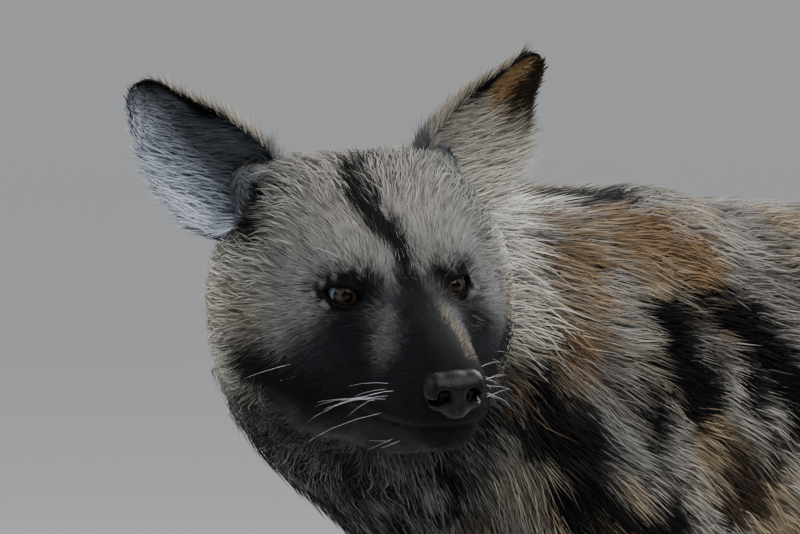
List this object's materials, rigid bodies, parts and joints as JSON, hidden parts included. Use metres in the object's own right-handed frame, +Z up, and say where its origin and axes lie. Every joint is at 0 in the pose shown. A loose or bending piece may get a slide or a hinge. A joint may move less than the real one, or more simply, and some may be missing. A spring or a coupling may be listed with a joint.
{
  "type": "african wild dog, still standing model",
  "caption": "Life-size still model of an african wild dog that stands on its four feet, head turned to look over its left shoulder.",
  "frame": {"origin": "on the ground, under the middle of the animal's outline seen from above", "axes": "+X the way the trunk faces, +Y the animal's left, +Z up"},
  "size_m": [1.1114, 0.3694, 0.7675],
  "materials": {
    "trunk_coat": "patchy black, tan and grey-white coat, bristly",
    "neck_coat": "thick black, tan and grey-white ruff",
    "face_coat": "short grey-buff coat with a black muzzle",
    "tail_coat": "long brush, dark at the middle and white at the tip",
    "ear_coat": "short dark coat with long pale hairs inside",
    "leg_coat": "short tan and white coat with black patches",
    "eye": "wet, amber-brown iris and black pupil",
    "nose_skin": "moist, finely pebbled, black",
    "claw_horn": "dark worn horn"
  },
  "bodies": {
    "root": {"torso": "trunk_coat", "neck": "neck_coat", "head": "face_coat", "tail": "tail_coat", "ear_left": "ear_coat", "ear_right": "ear_coat", "foreleg_left": "leg_coat", "foreleg_right": "leg_coat", "hindleg_left": "leg_coat", "hindleg_right": "leg_coat", "eye_left": "eye", "eye_right": "eye", "nose": "nose_skin", "claw_fore_left_1": "claw_horn", "claw_fore_left_2": "claw_horn", "claw_fore_left_3": "claw_horn", "claw_fore_left_4": "claw_horn", "claw_fore_right_1": "claw_horn", "claw_fore_right_2": "claw_horn", "claw_fore_right_3": "claw_horn", "claw_fore_right_4": "claw_horn", "claw_hind_left_1": "claw_horn", "claw_hind_left_2": "claw_horn", "claw_hind_left_3": "claw_horn", "claw_hind_left_4": "claw_horn", "claw_hind_right_1": "claw_horn", "claw_hind_right_2": "claw_horn", "claw_hind_right_3": "claw_horn", "claw_hind_right_4": "claw_horn"}
  },
  "joints": []
}
